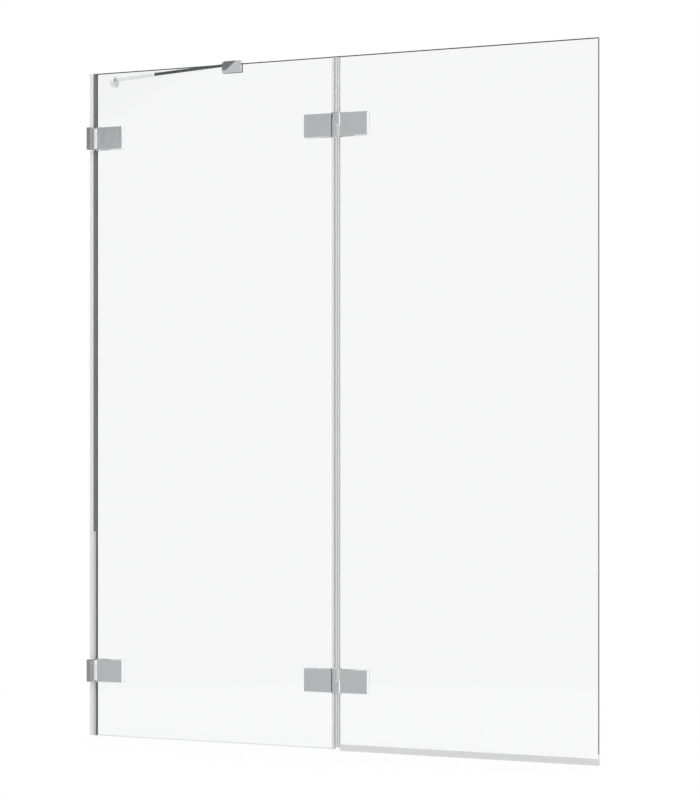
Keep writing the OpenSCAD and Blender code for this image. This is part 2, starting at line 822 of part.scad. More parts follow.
module rosette_cap() {
  b = rosette_bevel;
  floor_x = base_t + floor_gap;
  rim_r = base_r + seat_clear;
  color(chrome_colour) difference() {
    at_rosette() rotate_extrude() {
      polygon([[0, floor_x], [rim_r, floor_x], [rim_r, 0], [rosette_r, 0], [rosette_r, rosette_t - b],
        [rosette_r - b, rosette_t], [0, rosette_t]]);
    }
    rod_along_bar(tube_x0 - tube_r, rosette_t + tube_r, tube_r + seat_clear);
    at_bar(rosette_grub_x) grub_hole(rosette_r + rosette_drop, grub_r);
  }
}

module rosette_grub_screw() {
  z = -tube_r - rosette_grub_len;
  color(steel_colour) at_bar(rosette_grub_x) translate([0, 0, z]) grub(rosette_grub_len, grub_r);
}

fixed_glass();
wall_seal();
fixed_edge_seal();
wall_plate_upper();
wall_plate_lower();
wall_covers_upper();
wall_covers_lower();
wall_front_plate_upper();
wall_front_plate_lower();
wall_back_plate_upper();
wall_back_plate_lower();
wall_gaskets_upper();
wall_gaskets_lower();
wall_clamp_screws();
wall_sleeves();
fixed_leaf_core_upper();
fixed_leaf_core_lower();
fixed_leaf_front_upper();
fixed_leaf_front_lower();
fixed_leaf_back_upper();
fixed_leaf_back_lower();
fixed_leaf_gaskets_upper();
fixed_leaf_gaskets_lower();
fixed_leaf_screws();
fixed_leaf_sleeves();
hinge_pin_upper();
hinge_pin_lower();
pin_grub_screws();
hinge_washers();
fixed_knuckle_caps();
support_tube();
support_rod();
rod_lock_screw();
glass_clamp();
glass_clamp_liner();
glass_clamp_grubs();
rod_grub_screw();
rosette_base();
rosette_cap();
rosette_grub_screw();
door_glass();
door_edge_seal();
door_drip_seal();
door_leaf_core_upper();
door_leaf_core_lower();
door_leaf_front_upper();
door_leaf_front_lower();
door_leaf_back_upper();
door_leaf_back_lower();
door_leaf_gaskets_upper();
door_leaf_gaskets_lower();
door_leaf_screws();
door_leaf_sleeves();
hinge_bush_upper();
hinge_bush_lower();
door_knuckle_caps();
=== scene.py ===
import math

import bmesh
import bpy
from mathutils import Matrix, Vector
from mathutils.geometry import tessellate_polygon


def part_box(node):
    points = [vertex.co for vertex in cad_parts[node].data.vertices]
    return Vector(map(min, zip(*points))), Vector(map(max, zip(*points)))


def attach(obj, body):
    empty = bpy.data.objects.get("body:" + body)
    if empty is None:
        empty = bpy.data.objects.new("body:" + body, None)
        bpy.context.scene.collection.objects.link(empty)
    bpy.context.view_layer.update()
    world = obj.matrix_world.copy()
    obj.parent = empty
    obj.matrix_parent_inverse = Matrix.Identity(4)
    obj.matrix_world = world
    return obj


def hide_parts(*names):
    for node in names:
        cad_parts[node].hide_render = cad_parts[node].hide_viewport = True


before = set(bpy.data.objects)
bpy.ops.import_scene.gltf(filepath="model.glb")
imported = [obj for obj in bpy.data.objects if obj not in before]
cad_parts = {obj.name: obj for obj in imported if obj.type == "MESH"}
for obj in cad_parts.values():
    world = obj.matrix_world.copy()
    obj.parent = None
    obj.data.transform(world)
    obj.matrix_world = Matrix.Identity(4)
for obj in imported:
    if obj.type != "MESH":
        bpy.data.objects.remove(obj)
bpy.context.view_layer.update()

# Wall plates
# Each bracket starts as a zinc casting: a flange on the wall, a neck as thick as the clamp, and a
# tongue that enters the notch in the glass. The casting is bead-blasted and plated, so it is satin, and
# four countersunk holes take the wall screws.
CASTING_EDGE = 0.0004
SWIRLS_PER_SMEAR = 9.0
MERGE_DISTANCE = 1e-6
SAME_PLANE = math.radians(0.5)
CREASE = math.radians(30)


def bare_material(name, **values):
    """A new material and its Principled shader, with some of its inputs set by name."""
    material = bpy.data.materials.new(name)
    material.use_nodes = True
    shader = next(n for n in material.node_tree.nodes if n.type == "BSDF_PRINCIPLED")
    for socket, value in values.items():
        shader.inputs[socket.replace("_", " ")].default_value = value
    return material, shader


def place_node(tree, kind, group=None, **values):
    """Adds a node to a tree and sets its inputs by name."""
    node = tree.nodes.new(kind)
    if group is not None:
        node.node_tree = group
    for socket, value in values.items():
        node.inputs[socket.replace("_", " ")].default_value = value
    return node


def feed(tree, value, socket):
    """Gives a socket its value, which is a number or another node's output."""
    if isinstance(value, (int, float)):
        socket.default_value = value
    else:
        tree.links.new(value, socket)


def reckon(tree, operation, *operands):
    """The result of a sum, product or comparison of sockets and numbers."""
    node = tree.nodes.new("ShaderNodeMath")
    node.operation = operation
    for value, socket in zip(operands, node.inputs):
        feed(tree, value, socket)
    return node.outputs["Value"]


def wiping_group():
    """Faint smears and fine swirls that wiping leaves on a surface."""
    group = bpy.data.node_groups.new("wiping marks", "ShaderNodeTree")
    for name in ("Scale", "Plain", "Marked"):
        group.interface.new_socket(name, in_out="INPUT", socket_type="NodeSocketFloat")
    for name in ("Roughness", "Height"):
        group.interface.new_socket(name, in_out="OUTPUT", socket_type="NodeSocketFloat")
    nodes, links = group.nodes, group.links
    given = nodes.new("NodeGroupInput")
    result = nodes.new("NodeGroupOutput")
    place = nodes.new("ShaderNodeTexCoord")
    smears = place_node(group, "ShaderNodeTexNoise", Detail=3.0, Distortion=1.2)
    links.new(place.outputs["Object"], smears.inputs["Vector"])
    links.new(given.outputs["Scale"], smears.inputs["Scale"])
    spread = place_node(group, "ShaderNodeMapRange", From_Min=0.42, From_Max=0.72)
    links.new(smears.outputs["Fac"], spread.inputs["Value"])
    links.new(given.outputs["Plain"], spread.inputs["To Min"])
    links.new(given.outputs["Marked"], spread.inputs["To Max"])
    links.new(spread.outputs["Result"], result.inputs["Roughness"])
    swirls = place_node(group, "ShaderNodeTexNoise", Detail=2.0)
    links.new(place.outputs["Object"], swirls.inputs["Vector"])
    links.new(reckon(group, "MULTIPLY", given.outputs["Scale"], SWIRLS_PER_SMEAR), swirls.inputs["Scale"])
    links.new(swirls.outputs["Fac"], result.inputs["Height"])
    return group


wiping_marks = wiping_group()


def add_marks(material, shader, scale, plain, marked, depth):
    """Puts the wiping marks on a material's roughness and, as a slight relief, on its normal."""
    tree = material.node_tree
    marks = place_node(tree, "ShaderNodeGroup", wiping_marks, Scale=scale, Plain=plain, Marked=marked)
    tree.links.new(marks.outputs["Roughness"], shader.inputs["Roughness"])
    relief = place_node(tree, "ShaderNodeBump", Strength=1.0, Distance=depth)
    tree.links.new(marks.outputs["Height"], relief.inputs["Height"])
    tree.links.new(relief.outputs["Normal"], shader.inputs["Normal"])


def satin_casting():
    """Bead-blasted casting under a light plate."""
    material, shader = bare_material("satin plated casting", Base_Color=(0.97, 0.97, 0.972, 1.0))
    add_marks(material, shader, scale=220.0, plain=0.38, marked=0.5, depth=0.00002)
    return material


def solid_copy(node):
    """A CAD node's solid as a clean mesh: points merged and flat faces joined."""
    shape = bmesh.new()
    shape.from_mesh(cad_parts[node].data)
    bmesh.ops.remove_doubles(shape, verts=shape.verts, dist=MERGE_DISTANCE)
    bmesh.ops.dissolve_limit(shape, angle_limit=SAME_PLANE, verts=shape.verts, edges=shape.edges)
    return shape


def new_piece(name, shape, materials):
    """A smooth-shaded piece with sharp creases, from a bmesh."""
    mesh = bpy.data.meshes.new(name)
    shape.to_mesh(mesh)
    shape.free()
    for material in materials:
        mesh.materials.append(material)
    mesh.shade_smooth()
    mesh.set_sharp_from_angle(angle=CREASE)
    piece = bpy.data.objects.new(name, mesh)
    bpy.context.scene.collection.objects.link(piece)
    return piece


def ease_edges(piece, width, segments=2):
    """Rounds a piece's sharp edges, as polishing leaves them."""
    edges = piece.modifiers.new("eased edges", "BEVEL")
    edges.width = width
    edges.segments = segments
    edges.limit_method = "ANGLE"
    edges.angle_limit = CREASE
    edges.harden_normals = True


def body_of_node(node):
    """The body that a CAD node belongs to."""
    return "door" if node.startswith(("door_", "hinge_bush")) else "fixed"


def fit(piece, node):
    """Puts a piece in a CAD node's place: the piece moves with the node's body, and the node is hidden."""
    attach(piece, body_of_node(node))
    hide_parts(node)


def dress(node, material, width):
    """A CAD node's solid with eased edges and a finish, in the node's place."""
    piece = new_piece(node + "_finished", solid_copy(node), [material])
    ease_edges(piece, width)
    fit(piece, node)
    return piece


casting = satin_casting()
for level in ("upper", "lower"):
    dress("wall_plate_" + level, casting, CASTING_EDGE)

# Covers and clamp plates
# The covers are drawn from sheet brass and clip over the flange, and the clamp plates are milled from brass
# bar. All are polished and chromed, with faint smears from wiping. The plates' ends carry a painted
# highlight, brighter than their faces, except on the fixed leaves, whose ends carry painted shade for the
# dark knuckle that they reflect.
COVER_EDGE = 0.0005
PLATE_EDGE = 0.0003
CHROME_TINT = (1.0, 1.009, 1.023)
FACE_TURN = 0.99
FREE_SIDE = Vector((1, 0, 0))
FRONT_SIDE = Vector((0, -1, 0))


def polished_chrome(name, tone, plain, marked):
    """Chrome plate with faint smears, as bright as its tone."""
    colour = (*(tone * tint for tint in CHROME_TINT), 1.0)
    material, shader = bare_material(name, Base_Color=colour, Metallic=1.0)
    add_marks(material, shader, scale=55.0, plain=plain, marked=marked, depth=0.000002)
    return material


def recolour_side(piece, side, material):
    """Gives a piece's flat faces towards one side another material, which carries a painted highlight or
    painted shade on that side.
    """
    piece.data.materials.append(material)
    for face in piece.data.polygons:
        face.material_index = 1 if face.normal.dot(side) > FACE_TURN else 0


chrome = polished_chrome("polished chrome", tone=0.86, plain=0.07, marked=0.14)
# The covers' chrome is kept dark, as painted shade.
shaded_sheet_chrome = polished_chrome("chromed sheet with painted shade", tone=0.5, plain=0.09, marked=0.16)
# Mirror chrome is the clamp's finish and also a painted highlight on the free ends of the wall plates and
# door leaves.
mirror_chrome_and_end_highlight = polished_chrome("mirror chrome", tone=0.97, plain=0.02, marked=0.05)
# Darker chrome: painted shade on the fixed leaves' free ends, standing in for the dark knuckle that they
# reflect.
end_shade_chrome = polished_chrome("chrome with painted end shade", tone=0.3, plain=0.12, marked=0.2)
for level in ("upper", "lower"):
    dress("wall_covers_" + level, shaded_sheet_chrome, COVER_EDGE)
    for side in ("front_", "back_"):
        recolour_side(dress("wall_" + side + "plate_" + level, chrome, PLATE_EDGE), FREE_SIDE, mirror_chrome_and_end_highlight)
        recolour_side(dress("fixed_leaf_" + side + level, chrome, PLATE_EDGE), FREE_SIDE, end_shade_chrome)
        recolour_side(dress("door_leaf_" + side + level, chrome, PLATE_EDGE), FREE_SIDE, mirror_chrome_and_end_highlight)

# Glass panes
# Both panes are 6 mm clear toughened glass, cut, notched and drilled before the heat treatment. Their
# faces are fire-bright; every cut edge is ground, with a narrow arris on each corner.
ARRIS = 0.0019
ARRIS_DEPTH = 0.0008
SIDE_ARRIS_SHARE = 0.6
NOTCH_ARRIS_SHARE = 0.2
STRAIGHT = 1e-3
# The grinding colours are near black: painted shade for the dark line along the glass edges.
DARK_GRINDING_SHADE = (0.02, 0.024, 0.022, 1.0)
PALE_GRINDING_SHADE = (0.05, 0.058, 0.054, 1.0)
LIT_EDGE = (0.76, 0.78, 0.77, 1.0)
LIT_FOOT = 0.02
FREE_END_LIGHT = 0.2


def clear_glass():
    """Clear float glass. Lamps shine through it, so that its shadow stays light."""
    material, shader = bare_material("clear glass", Base_Color=(0.957, 0.962, 0.96, 1.0), Roughness=0.0,
                                     IOR=1.5, Transmission_Weight=1.0)
    tree = material.node_tree
    path = tree.nodes.new("ShaderNodeLightPath")
    gap = place_node(tree, "ShaderNodeBsdfTransparent", Color=(0.95, 0.96, 0.957, 1.0))
    pick = tree.nodes.new("ShaderNodeMixShader")
    output = next(n for n in tree.nodes if n.type == "OUTPUT_MATERIAL")
    tree.links.new(path.outputs["Is Shadow Ray"], pick.inputs["Fac"])
    tree.links.new(shader.outputs["BSDF"], pick.inputs[1])
    tree.links.new(gap.outputs["BSDF"], pick.inputs[2])
    tree.links.new(pick.outputs["Shader"], output.inputs["Surface"])
    return material


def blend_colours(tree, share, first, second, socket):
    """Feeds a colour socket a blend of two colours, each of them a socket or four numbers."""
    mixed = tree.nodes.new("ShaderNodeMix")
    mixed.data_type = "RGBA"
    tree.links.new(share, mixed.inputs["Factor"])
    for colour, place in zip((first, second), [s for s in mixed.inputs if s.type == "RGBA"]):
        if isinstance(colour, tuple):
            place.default_value = colour
        else:
            tree.links.new(colour, place)
    tree.links.new(next(s for s in mixed.outputs if s.type == "RGBA"), socket)


def object_axes(tree):
    """The X, Y and Z sockets of a material's place on its piece."""
    place = tree.nodes.new("ShaderNodeTexCoord")
    parts = tree.nodes.new("ShaderNodeSeparateXYZ")
    tree.links.new(place.outputs["Object"], parts.inputs["Vector"])
    return parts.outputs


def ground_edge():
    """Ground edge of the glass with fine grinding lines, painted near black as the dark line along the
    glass edges, and painted lighter where floor or seals light it.
    """
    material, shader = bare_material("ground glass edge", Roughness=0.45, IOR=1.5)
    tree = material.node_tree
    place = tree.nodes.new("ShaderNodeTexCoord")
    lines = place_node(tree, "ShaderNodeTexNoise", Scale=900.0, Detail=2.0)
    tree.links.new(place.outputs["Object"], lines.inputs["Vector"])
    tone = tree.nodes.new("ShaderNodeValToRGB")
    for element, colour in zip(tone.color_ramp.elements, (DARK_GRINDING_SHADE, PALE_GRINDING_SHADE)):
        element.color = colour
    tree.links.new(lines.outputs["Fac"], tone.inputs["Fac"])
    axes = object_axes(tree)
    fixed_low, fixed_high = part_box("fixed_glass")
    door_low, door_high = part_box("door_glass")
    seam = (fixed_high.x + door_low.x) / 2
    seam_half = (door_low.x - fixed_high.x) / 2
    at_foot = reckon(tree, "COMPARE", axes["Z"], fixed_low.z, LIT_FOOT)
    at_seam = reckon(tree, "COMPARE", axes["X"], seam, seam_half + ARRIS)
    at_free_end = reckon(tree, "COMPARE", axes["X"], door_high.x, ARRIS)
    lit = reckon(tree, "MAXIMUM", reckon(tree, "MAXIMUM", at_foot, at_seam),
                 reckon(tree, "MULTIPLY", at_free_end, FREE_END_LIGHT))
    blend_colours(tree, lit, tone.outputs["Color"], LIT_EDGE, shader.inputs["Base Color"])
    return material


glass = clear_glass()
edge = ground_edge()


def rim_outlines(node):
    """The outlines of a pane's front face, as rings of corners with the glass on their left."""
    shape = solid_copy(node)
    shape.normal_update()
    shape.verts.index_update()
    shape.verts.ensure_lookup_table()
    following = {}
    for face in shape.faces:
        if face.normal.y < -FACE_TURN:
            for corner in face.loops:
                if corner.link_loop_radial_next.face.normal.y > -FACE_TURN:
                    following[corner.vert.index] = corner.link_loop_next.vert.index
    outlines = []
    while following:
        start = next(iter(following))
        ring = [start]
        here = following.pop(start)
        while here != start:
            ring.append(here)
            here = following.pop(here)
        outlines.append([shape.verts[i].co.xz for i in ring])
    shape.free()
    return outlines


def arris_width(low, high, first, second):
    """The width of a side's arris: full along top and foot, less at the sides, narrow in the notches."""
    for axis, share in ((0, SIDE_ARRIS_SHARE), (1, 1.0)):
        for limit in (low.xz[axis], high.xz[axis]):
            if abs(first[axis] - limit) < MERGE_DISTANCE and abs(second[axis] - limit) < MERGE_DISTANCE:
                return share * ARRIS
    return NOTCH_ARRIS_SHARE * ARRIS


def inset(ring, widths):
    """A ring moved into the glass, each side by its own width."""
    moved = []
    for i, corner in enumerate(ring):
        sides = (corner - ring[i - 1], ring[(i + 1) % len(ring)] - corner)
        one, two = [Vector((-side.y, side.x)).normalized() for side in sides]
        turn = one.cross(two)
        if abs(turn) < STRAIGHT:
            moved.append(corner + two * widths[i])
        else:
            moved.append(corner + Vector((widths[i - 1] * two.y - widths[i] * one.y,
                                          widths[i] * one.x - widths[i - 1] * two.x)) / turn)
    return moved


def glass_pane(node):
    """A pane with an arris on its edges; everything but its two faces is ground."""
    low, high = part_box(node)
    rims = rim_outlines(node)
    inner = [inset(ring, [arris_width(low, high, corner, ring[(i + 1) % len(ring)])
                          for i, corner in enumerate(ring)]) for ring in rims]
    shape = bmesh.new()
    levels = []
    for rings, depth in ((inner, low.y), (rims, low.y + ARRIS_DEPTH),
                         (rims, high.y - ARRIS_DEPTH), (inner, high.y)):
        levels.append([[shape.verts.new((corner.x, depth, corner.y)) for corner in ring] for ring in rings])
    flat = tessellate_polygon([[corner.to_3d() for corner in ring] for ring in inner])
    for level in (levels[0], levels[-1]):
        corners = [vertex for ring in level for vertex in ring]
        for triangle in flat:
            shape.faces.new([corners[i] for i in triangle])
    for front, back in zip(levels, levels[1:]):
        for near, far in zip(front, back):
            for i in range(len(near)):
                shape.faces.new((near[i - 1], near[i], far[i], far[i - 1]))
    bmesh.ops.recalc_face_normals(shape, faces=shape.faces)
    piece = new_piece(node + "_finished", shape, [glass, edge])
    for face in piece.data.polygons:
        face.use_smooth = False
        face.material_index = 0 if abs(face.normal.y) > FACE_TURN else 1
    fit(piece, node)


glass_pane("fixed_glass")
glass_pane("door_glass")

# Gaskets and sleeves
# Between plates and glass lie flat gaskets cut from a sheet of milky soft plastic, and each screw that
# passes through the glass has a white moulded sleeve, so that no metal touches the pane. The thin gaskets
# have a faint painted glow, standing in for the light that they let through.
MILKY_TONE = 0.98
# A painted glow on the gaskets, standing in for light that they let through.
GASKET_PAINTED_GLOW = 0.28


def plastic_grey(tone):
    """The colour of an almost neutral plastic."""
    return (tone, tone, 1.005 * tone, 1.0)


def soft_plastic(name, clearness, tone, plain=0.28, marked=0.38, painted_glow=0.0):
    """Soft plastic of one tone, from clear to milky."""
    material, shader = bare_material(name, Base_Color=plastic_grey(tone), IOR=1.4,
                                     Transmission_Weight=clearness,
                                     Emission_Color=(1.0, 1.0, 1.0, 1.0), Emission_Strength=painted_glow)
    add_marks(material, shader, scale=40.0, plain=plain, marked=marked, depth=0.000003)
    return material


def moulded_white():
    """White moulded plastic with a faint grain."""
    material, shader = bare_material("white moulded plastic", Base_Color=(0.86, 0.86, 0.84, 1.0))
    add_marks(material, shader, scale=500.0, plain=0.4, marked=0.52, depth=0.00002)
    return material


def finish_node(node, material):
    """A CAD node that stays as it is takes its finish."""
    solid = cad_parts[node]
    solid.data.materials.clear()
    solid.data.materials.append(material)


milky_plastic = soft_plastic("milky gasket plastic", clearness=0.0, tone=MILKY_TONE, plain=0.4,
                             marked=0.5, painted_glow=GASKET_PAINTED_GLOW)
white_plastic = moulded_white()
for side in ("wall", "fixed_leaf", "door_leaf"):
    finish_node(side + "_sleeves", white_plastic)
    for level in ("upper", "lower"):
        finish_node(side + "_gaskets_" + level, milky_plastic)

# Clamp screws
# Stainless countersunk screws with a hexagon socket hold each pair of plates: two through the metal
# and two through the glass. Their heads lie flush in the back plates.
HEAD_RADIUS = 0.0046
HEAD_HEIGHT = 0.0022
SHANK_RADIUS = 0.0025
SCREW_LENGTH = 0.0166
KEY_RADIUS = 0.00175
KEY_DEPTH = 0.0016
SCREW_PITCH = 0.028
CORE_SCREW_IN = 0.012
GLASS_SCREW_IN = 0.046
HEAD_SIDES = 40
SHANK_SIDES = 24
KEY_SIDES = 6


def stainless():
    """Stainless steel, turned and passivated."""
    material, shader = bare_material("stainless steel", Base_Color=(0.62, 0.62, 0.63, 1.0), Metallic=1.0)
    add_marks(material, shader, scale=400.0, plain=0.24, marked=0.36, depth=0.00001)
    return material


steel = stainless()


def tree_with_inputs(name, sizes):
    """A geometry tree with named sizes and a material as its inputs."""
    tree = bpy.data.node_groups.new(name, "GeometryNodeTree")
    tree.interface.new_socket("Geometry", in_out="INPUT", socket_type="NodeSocketGeometry")
    for size in sizes:
        tree.interface.new_socket(size, in_out="INPUT", socket_type="NodeSocketFloat")
    tree.interface.new_socket("Material", in_out="INPUT", socket_type="NodeSocketMaterial")
    tree.interface.new_socket("Geometry", in_out="OUTPUT", socket_type="NodeSocketGeometry")
    return tree, tree.nodes.new("NodeGroupInput").outputs


def lifted(tree, geometry, height):
    """Geometry moved along Z."""
    move = tree.nodes.new("GeometryNodeTransform")
    offset = tree.nodes.new("ShaderNodeCombineXYZ")
    feed(tree, height, offset.inputs["Z"])
    tree.links.new(geometry, move.inputs["Geometry"])
    tree.links.new(offset.outputs["Vector"], move.inputs["Translation"])
    return move.outputs["Geometry"]


def round_bar(tree, sides, radius, depth, centre):
    """A closed cylinder along Z whose middle lies at a height."""
    bar = place_node(tree, "GeometryNodeMeshCylinder", Vertices=sides)
    feed(tree, radius, bar.inputs["Radius"])
    feed(tree, depth, bar.inputs["Depth"])
    return lifted(tree, bar.outputs["Mesh"], centre)


def finish_tree(tree, instances, material):
    """Ends a tree: instances become one mesh that has its material."""
    real = tree.nodes.new("GeometryNodeRealizeInstances")
    paint = tree.nodes.new("GeometryNodeSetMaterial")
    result = tree.nodes.new("NodeGroupOutput")
    tree.links.new(instances, real.inputs["Geometry"])
    tree.links.new(real.outputs["Geometry"], paint.inputs["Geometry"])
    tree.links.new(material, paint.inputs["Material"])
    tree.links.new(paint.outputs["Geometry"], result.inputs["Geometry"])


def countersunk_screws():
    """Countersunk screws at the points of the input, heads towards +Y."""
    sizes = ("Head Radius", "Head Height", "Shank Radius", "Length", "Key Radius", "Key Depth")
    tree, given = tree_with_inputs("countersunk screws", sizes)
    links = tree.links
    head = place_node(tree, "GeometryNodeMeshCone", Vertices=HEAD_SIDES)
    links.new(given["Head Radius"], head.inputs["Radius Top"])
    links.new(given["Shank Radius"], head.inputs["Radius Bottom"])
    links.new(given["Head Height"], head.inputs["Depth"])
    head_low = reckon(tree, "MULTIPLY", given["Head Height"], -1.0)
    key_length = reckon(tree, "MULTIPLY", given["Key Depth"], 2.0)
    key = round_bar(tree, KEY_SIDES, given["Key Radius"], key_length, 0.0)
    cut = tree.nodes.new("GeometryNodeMeshBoolean")
    cut.operation = "DIFFERENCE"
    links.new(lifted(tree, head.outputs["Mesh"], head_low), cut.inputs["Mesh 1"])
    links.new(key, cut.inputs["Mesh 2"])
    shank_length = reckon(tree, "SUBTRACT", given["Length"], given["Head Height"])
    shank_middle = reckon(tree, "MULTIPLY_ADD", shank_length, -0.5, head_low)
    shank = round_bar(tree, SHANK_SIDES, given["Shank Radius"], shank_length, shank_middle)
    whole = tree.nodes.new("GeometryNodeJoinGeometry")
    links.new(cut.outputs["Mesh"], whole.inputs["Geometry"])
    links.new(shank, whole.inputs["Geometry"])
    spread = place_node(tree, "GeometryNodeInstanceOnPoints", Rotation=(math.radians(-90), 0.0, 0.0))
    links.new(given["Geometry"], spread.inputs["Points"])
    links.new(whole.outputs["Geometry"], spread.inputs["Instance"])
    finish_tree(tree, spread.outputs["Instances"], given["Material"])
    return tree


def grown(name, tree, seed_mesh, material, **sizes):
    """The plain mesh that a tree makes from its seed mesh, as a piece."""
    seed = bpy.data.objects.new(name + "_seed", seed_mesh)
    bpy.context.scene.collection.objects.link(seed)
    growth = seed.modifiers.new("growth", "NODES")
    growth.node_group = tree
    values = {size.replace("_", " "): value for size, value in sizes.items()}
    values["Material"] = material
    for item in tree.interface.items_tree:
        if item.in_out == "INPUT" and item.name in values:
            growth[item.identifier] = values[item.name]
    mesh = bpy.data.meshes.new_from_object(seed.evaluated_get(bpy.context.evaluated_depsgraph_get()))
    bpy.data.objects.remove(seed)
    mesh.name = name
    mesh.shade_smooth()
    mesh.set_sharp_from_angle(angle=CREASE)
    piece = bpy.data.objects.new(name, mesh)
    bpy.context.scene.collection.objects.link(piece)
    return piece


def screw_places(front, direction):
    """Places of the four screw heads in the back plate behind a front plate."""
    low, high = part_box(front)
    inner = low.x if direction > 0 else high.x
    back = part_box(front.replace("front", "back"))[1].y
    middle = (low.z + high.z) / 2
    return [(inner + direction * reach, back, middle + side * SCREW_PITCH / 2)
            for reach in (CORE_SCREW_IN, GLASS_SCREW_IN) for side in (-1, 1)]


screw_tree = countersunk_screws()
for node, plate, direction in (("wall_clamp_screws", "wall_front_plate_", 1),
                               ("fixed_leaf_screws", "fixed_leaf_front_", -1),
                               ("door_leaf_screws", "door_leaf_front_", 1)):
    heads = bpy.data.meshes.new(node + "_heads")
    places = screw_places(plate + "upper", direction) + screw_places(plate + "lower", direction)
    heads.from_pydata(places, [], [])
    screws = grown(node + "_finished", screw_tree, heads, steel, Head_Radius=HEAD_RADIUS,
                   Head_Height=HEAD_HEIGHT, Shank_Radius=SHANK_RADIUS, Length=SCREW_LENGTH,
                   Key_Radius=KEY_RADIUS, Key_Depth=KEY_DEPTH)
    fit(screws, node)

# Hinge leaves
# Each leaf has a brass core between its plates, with half of the knuckle on it, polished and chromed; the
# front of the door's core carries a painted sheen, lighter than the rest. The pin is steel, locked in the
# fixed half, and the door's half turns on a plastic bush and a washer.
CORE_EDGE = 0.0004
CAP_EDGE = 0.0002


def front_sheen_chrome():
    """Chrome with a painted sheen, lighter and partly matt, for the front faces of the door's core."""
    material, shader = bare_material("chrome with painted front sheen", Base_Color=(0.97, 0.973, 0.976, 1.0),
                                     Metallic=0.84)
    add_marks(material, shader, scale=55.0, plain=0.3, marked=0.36, depth=0.000002)
    return material


front_sheen = front_sheen_chrome()
for level in ("upper", "lower"):
    dress("fixed_leaf_core_" + level, chrome, CORE_EDGE)
    # The door core's front faces take a painted sheen.
    recolour_side(dress("door_leaf_core_" + level, chrome, CORE_EDGE), FRONT_SIDE, front_sheen)
    finish_node("hinge_pin_" + level, steel)
    finish_node("hinge_bush_" + level, white_plastic)
finish_node("hinge_washers", white_plastic)
finish_node("pin_grub_screws", steel)
for node in ("fixed_knuckle_caps", "door_knuckle_caps"):
    dress(node, chrome, CAP_EDGE)

# Seals
# The seals are extruded from soft plastic, cut to length between the fittings and pushed onto the glass.
# The wall seal is a smoked channel with two cloudy lips. The two seals between the panes and the drip
# seal are cloudy.
AIR = 0.00005
GLASS_HALF = 0.003
SEAL_HALF = 0.0039
SEAL_WALL = 0.0009
LIP = 0.001
ARM_TIP = 0.0003
BULB_RADIUS = 0.0037
LIP_ROOT = SEAL_HALF - LIP
ARC_STEPS = 14
SEAL_CLEARNESS = 0.3
CLOUDY_TONE = 0.82
SMOKED_TONE = 0.2
LOW_PALE_TONE = 0.66
PALE_PART_TOP = 0.315
# Painted shade at the top end of the seals between the panes.
TOP_END_SHADE = (0.03, 0.034, 0.032, 1.0)
LAID_ALONG_X = Matrix(((0, 0, 1, 0), (1, 0, 0, 0), (0, 1, 0, 0), (0, 0, 0, 1)))


def cut_lengths():
    """Cuts a section to lengths: the seed's edges are the section, its points with a length the starts."""
    tree, given = tree_with_inputs("cut lengths", ())
    links = tree.links
    length = tree.nodes.new("GeometryNodeInputNamedAttribute")
    length.data_type = "FLOAT"
    length.inputs["Name"].default_value = "length"
    starts = tree.nodes.new("GeometryNodeSeparateGeometry")
    links.new(given["Geometry"], starts.inputs["Geometry"])
    links.new(reckon(tree, "GREATER_THAN", length.outputs["Attribute"], 0.0), starts.inputs["Selection"])
    outline = tree.nodes.new("GeometryNodeMeshToCurve")
    links.new(starts.outputs["Inverted"], outline.inputs["Mesh"])
    face = tree.nodes.new("GeometryNodeFillCurve")
    links.new(outline.outputs["Curve"], face.inputs["Curve"])
    drawn = place_node(tree, "GeometryNodeExtrudeMesh", Individual=False, Offset_Scale=1.0)
    up = place_node(tree, "ShaderNodeCombineXYZ", Z=1.0)
    links.new(up.outputs["Vector"], drawn.inputs["Offset"])
    links.new(face.outputs["Mesh"], drawn.inputs["Mesh"])
    foot = tree.nodes.new("GeometryNodeFlipFaces")
    links.new(face.outputs["Mesh"], foot.inputs["Mesh"])
    closed = tree.nodes.new("GeometryNodeJoinGeometry")
    links.new(drawn.outputs["Mesh"], closed.inputs["Geometry"])
    links.new(foot.outputs["Mesh"], closed.inputs["Geometry"])
    merged = place_node(tree, "GeometryNodeMergeByDistance", Distance=MERGE_DISTANCE)
    links.new(closed.outputs["Geometry"], merged.inputs["Geometry"])
    spread = tree.nodes.new("GeometryNodeInstanceOnPoints")
    stretch = place_node(tree, "ShaderNodeCombineXYZ", X=1.0, Y=1.0)
    links.new(length.outputs["Attribute"], stretch.inputs["Z"])
    links.new(starts.outputs["Selection"], spread.inputs["Points"])
    links.new(merged.outputs["Geometry"], spread.inputs["Instance"])
    links.new(stretch.outputs["Vector"], spread.inputs["Scale"])
    finish_tree(tree, spread.outputs["Instances"], given["Material"])
    return tree


def section_mesh(name, loops, lengths):
    """The seed of a seal: closed loops of its section, and one loose point for each length."""
    points, edges = [], []
    for loop in loops:
        first = len(points)
        points += [(x, y, 0.0) for x, y in loop]
        edges += [(first + i, first + (i + 1) % len(loop)) for i in range(len(loop))]
    values = [0.0] * len(points) + [end - start for start, end in lengths]
    points += [(0.0, 0.0, start) for start, end in lengths]
    mesh = bpy.data.meshes.new(name)
    mesh.from_pydata(points, edges, [])
    mesh.attributes.new("length", "FLOAT", "POINT").data.foreach_set("value", values)
    return mesh


def arc(radius, start, end):
    """Points on an arc about the origin between two angles in degrees."""
    angles = [math.radians(start + (end - start) * i / ARC_STEPS) for i in range(ARC_STEPS + 1)]
    return [(radius * math.cos(a), radius * math.sin(a)) for a in angles]


def mirrored(half):
    """A loop made of half an outline, from the glass plane and back to it, and its mirror image."""
    return half + [(x, -y) for x, y in reversed(half[1:-1])]


